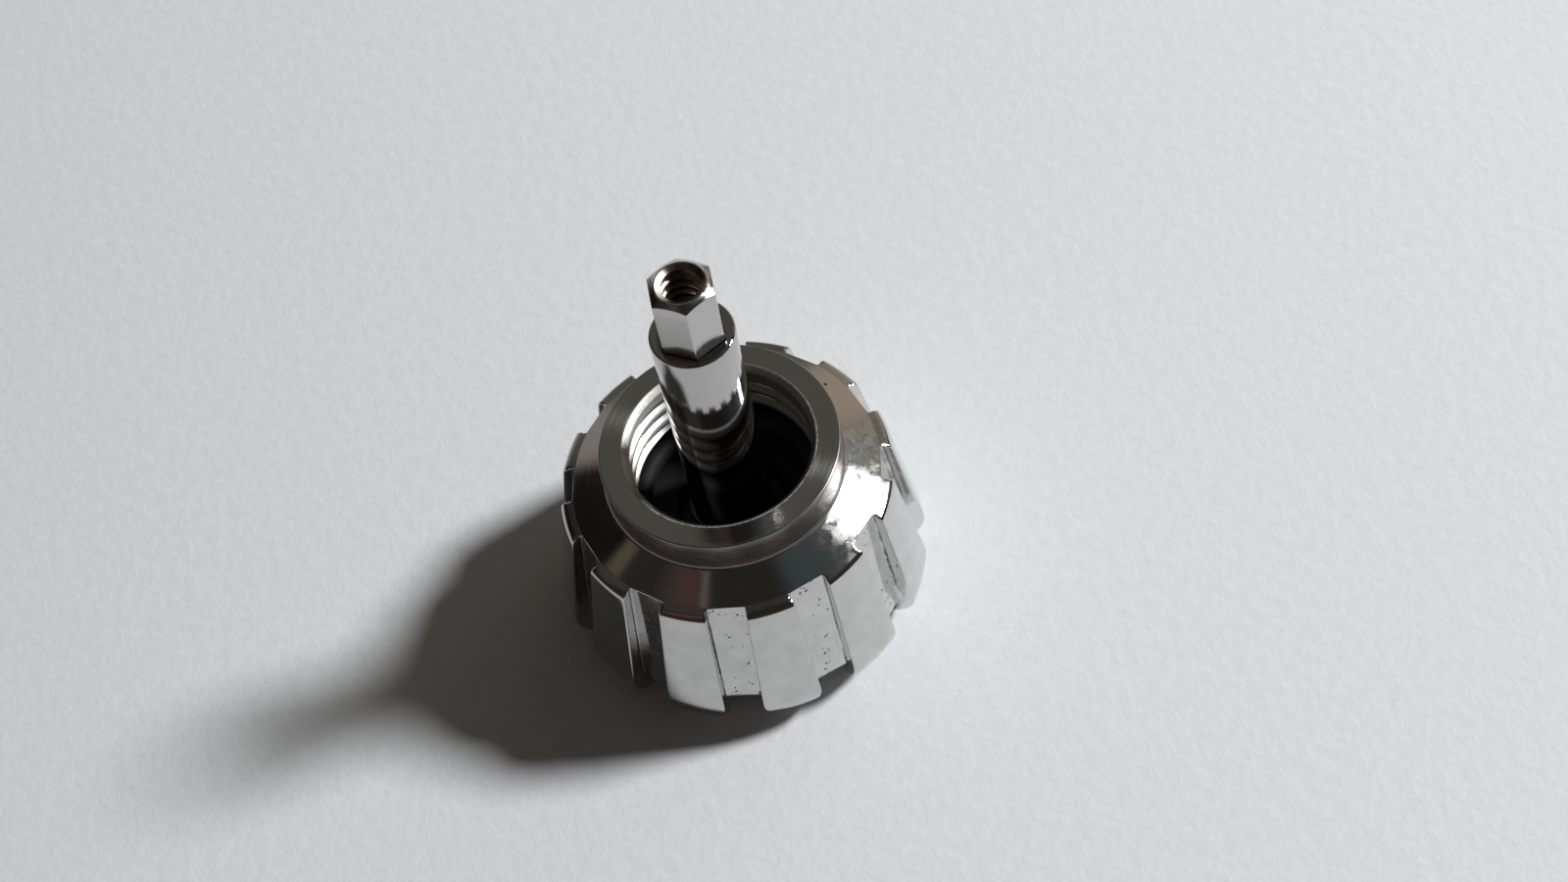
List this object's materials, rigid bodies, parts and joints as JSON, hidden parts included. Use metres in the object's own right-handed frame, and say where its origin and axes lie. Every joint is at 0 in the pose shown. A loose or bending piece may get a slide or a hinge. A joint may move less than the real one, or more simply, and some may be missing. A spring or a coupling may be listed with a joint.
{
  "type": "screw-down watch crown",
  "caption": "Ridged screw-down crown with an internally threaded skirt, a central core tube and a spring-loaded hexagonal slider tapped for the winding stem.",
  "frame": {"origin": "centre of the outer face, on which the crown stands", "axes": "+Z along the crown's axis, from the outer face through the threaded skirt towards the slider's tip; a ridge is centred on +X"},
  "size_m": [0.008, 0.008, 0.0104],
  "materials": {
    "steel": "mirror-polished stainless steel",
    "core_steel": "polished stainless steel",
    "slider_steel": "fine-turned stainless steel",
    "spring_steel": "drawn spring wire",
    "hard_steel": "hardened and ground steel",
    "rubber": "black nitrile rubber"
  },
  "bodies": {
    "crown": {"crown_head": "steel", "core_tube": "core_steel", "core_foot_ring": "rubber", "spring_seat": "hard_steel", "return_spring": "spring_steel", "backing_washer": "hard_steel", "flat_gasket": "rubber", "wall_ring": "rubber"},
    "slider": {"hex_slider": "slider_steel", "stop_collar": "slider_steel", "thrust_washer": "hard_steel"}
  },
  "joints": [
    {"name": "slider_press", "type": "slide", "parent": "crown", "child": "slider", "axis": [0, 0, 1], "range_m": [-0.0011, 0], "stiffness_N_per_m": 600, "springref_m": 0.0006, "deforming": ["return_spring"]}
  ]
}
